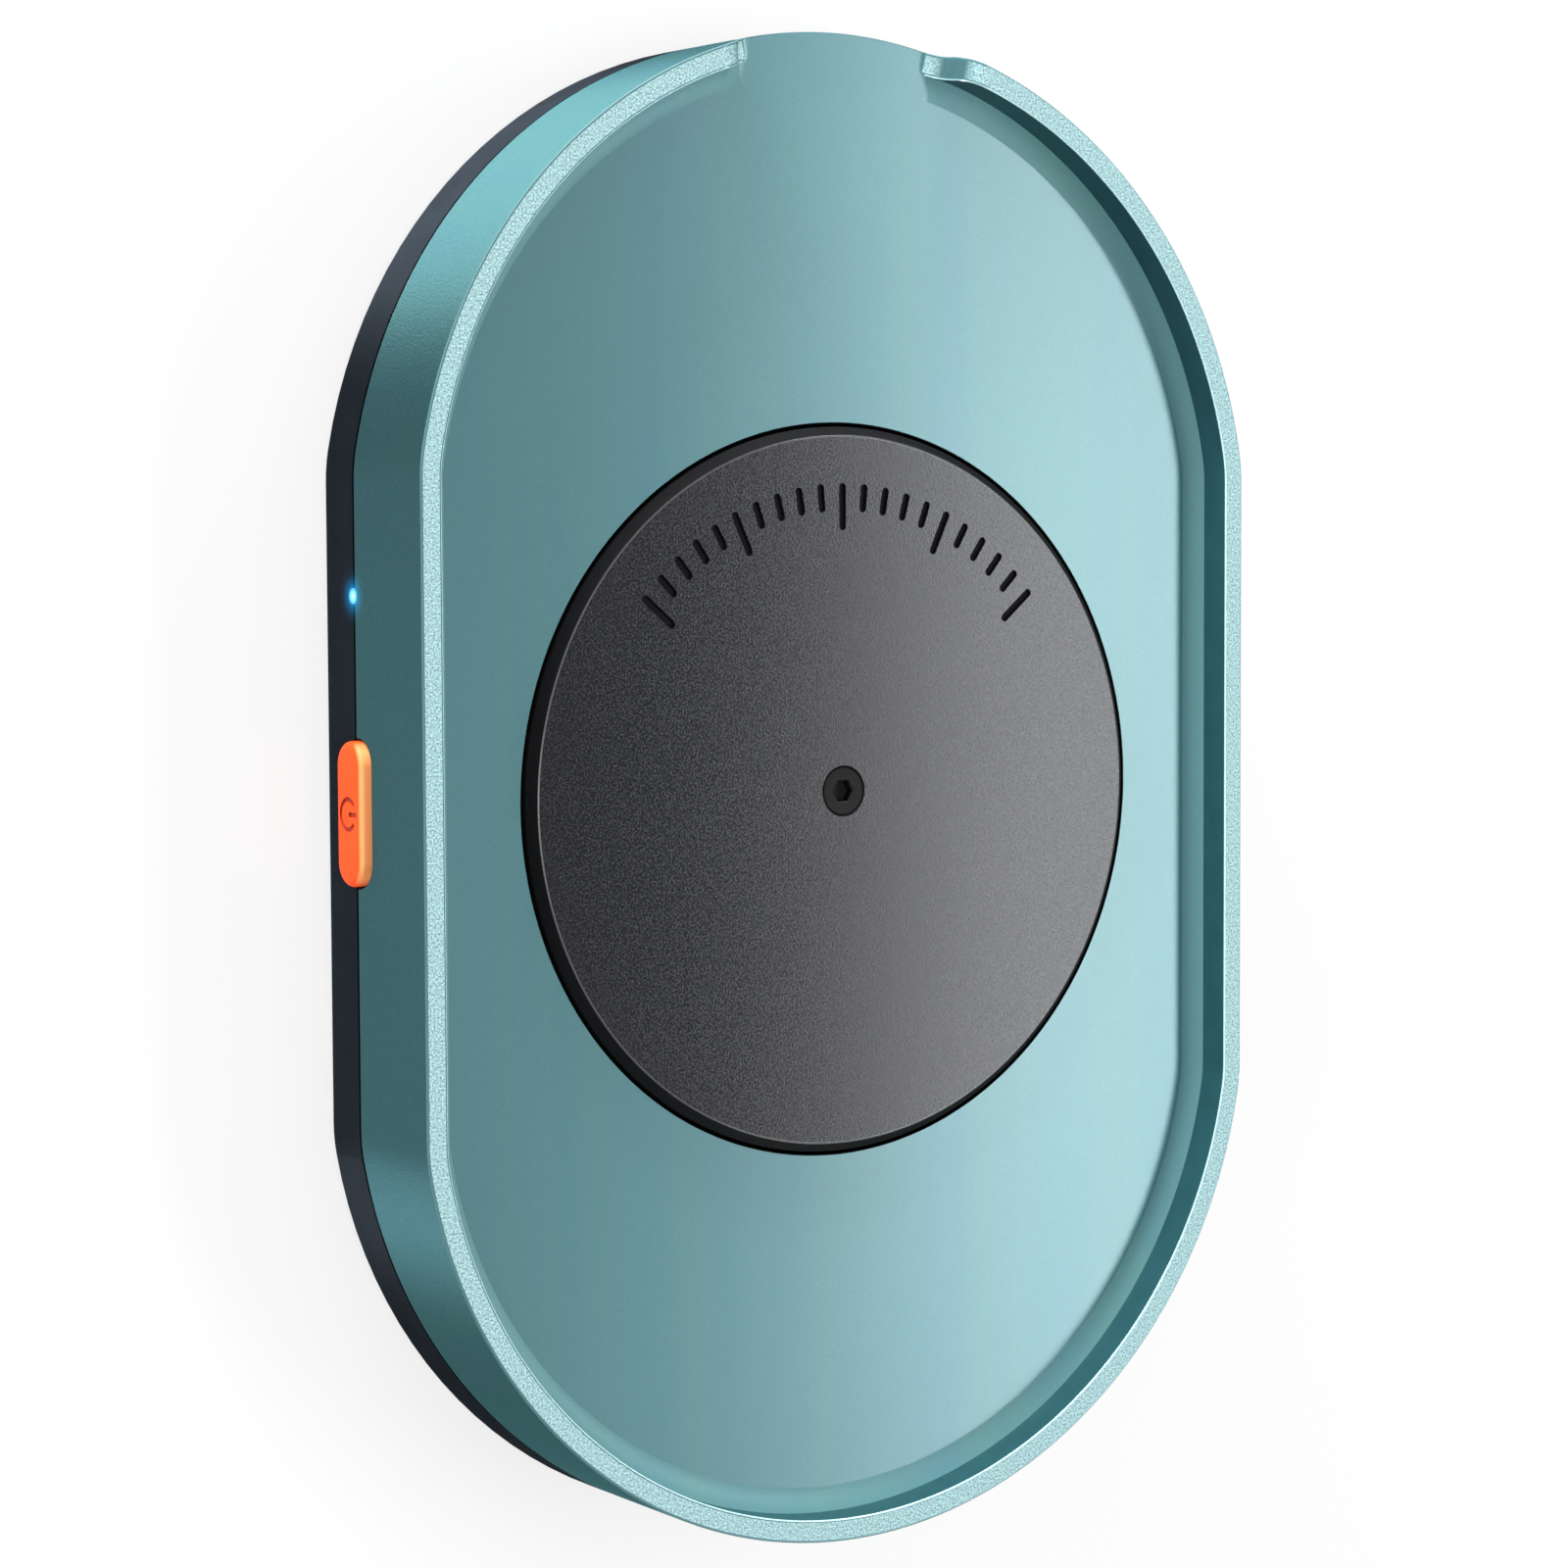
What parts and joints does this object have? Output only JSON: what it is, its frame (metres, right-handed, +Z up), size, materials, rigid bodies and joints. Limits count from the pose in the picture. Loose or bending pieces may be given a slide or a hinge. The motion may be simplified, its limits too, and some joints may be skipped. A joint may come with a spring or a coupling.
{
  "type": "mouse jiggler",
  "caption": "Flat stadium-shaped tray for a computer mouse, with a motor-driven turntable in its floor, a side push button and a notch for the mouse's cable.",
  "frame": {"origin": "on the surface that the feet stand on, below the turntable's axis", "axes": "+Z up out of the tray along the turntable's axis, +Y along the length towards the cable notch and the power port, -X to the side with the push button"},
  "size_m": [0.0799, 0.12, 0.016],
  "materials": {
    "teal_shell": "moulded plastic under a satin metallic teal paint, fine sparkle",
    "navy_base": "near-black navy, satin moulded plastic",
    "foot_rubber": "matt black rubber",
    "black_screw": "black oxide steel",
    "dark_disc": "dark grey, fine sandblasted grain",
    "steel": "turned, bright",
    "white_gear": "moulded acetal, satin",
    "bronze": "sintered bronze",
    "washer_nylon": "nylon, satin",
    "plated_steel": "nickel plated sheet",
    "copper_coil": "enamelled copper winding",
    "magnet": "ferrite, matt dark grey",
    "cream_plastic": "moulded nylon",
    "green_board": "glass-epoxy board, green solder mask",
    "black_plastic": "moulded, satin",
    "orange_button": "orange, satin, rounded edge",
    "switch_stem": "moulded, satin",
    "led_white": "clear-topped package",
    "light_pipe": "clear acrylic, lit blue-white",
    "tan_ceramic": "chip capacitor bodies",
    "dark_ceramic": "chip resistor bodies",
    "wire_red": "soft PVC",
    "wire_yellow": "soft PVC",
    "wire_blue": "soft PVC",
    "wire_black": "soft PVC"
  },
  "bodies": {
    "housing": {"top_shell": "teal_shell", "base_cover": "navy_base", "rubber_feet": "foot_rubber", "case_screws": "black_screw", "upper_bush": "bronze", "lower_bush": "bronze", "thrust_washer": "washer_nylon", "idler_axle": "steel", "motor_can": "plated_steel", "motor_flange": "plated_steel", "motor_bearing": "bronze", "motor_coils": "copper_coil", "motor_terminal": "cream_plastic", "motor_screws": "steel", "wire_plug": "cream_plastic", "wire_header": "cream_plastic", "main_board": "green_board", "board_screws": "steel", "port_shell": "plated_steel", "port_tongue": "black_plastic", "switch_body": "black_plastic", "switch_cover": "plated_steel", "status_led": "led_white", "light_pipe": "light_pipe", "controller_chip": "black_plastic", "driver_chip": "black_plastic", "voltage_regulator": "black_plastic", "crystal": "plated_steel", "capacitors": "tan_ceramic", "resistors": "dark_ceramic", "motor_wire_red": "wire_red", "motor_wire_yellow": "wire_yellow", "motor_wire_blue": "wire_blue", "motor_wire_black": "wire_black"},
    "turntable": {"turntable_disc": "dark_disc", "disc_screw": "black_screw", "spindle": "steel", "output_gear": "white_gear"},
    "idler": {"idler_gear": "white_gear"},
    "motor_rotor": {"motor_shaft": "steel", "motor_pinion": "bronze", "rotor_magnet": "magnet"},
    "button": {"power_button": "orange_button"},
    "plunger": {"switch_plunger": "switch_stem"}
  },
  "joints": [
    {"name": "turntable_spin", "type": "hinge", "parent": "housing", "child": "turntable", "pos_m": [0, 0, 0.012], "axis": [0, 0, 1], "continuous": true},
    {"name": "idler_spin", "type": "hinge", "parent": "housing", "child": "idler", "pos_m": [0, -0.01806, 0.008], "axis": [0, 0, 1], "continuous": true},
    {"name": "rotor_spin", "type": "hinge", "parent": "housing", "child": "motor_rotor", "pos_m": [0, -0.03012, 0.006], "axis": [0, 0, 1], "continuous": true},
    {"name": "button_push", "type": "slide", "parent": "housing", "child": "button", "axis": [1, 0, 0], "range_m": [0, 0.0006], "stiffness_N_per_m": 1000, "springref_m": -0.0004},
    {"name": "plunger_push", "type": "slide", "parent": "housing", "child": "plunger", "axis": [1, 0, 0], "range_m": [0, 0.0006]}
  ],
  "couplings": [
    {"joint": "idler_spin", "follows": "turntable_spin", "ratio": -5},
    {"joint": "rotor_spin", "follows": "turntable_spin", "ratio": 20},
    {"joint": "plunger_push", "follows": "button_push", "ratio": 1}
  ]
}
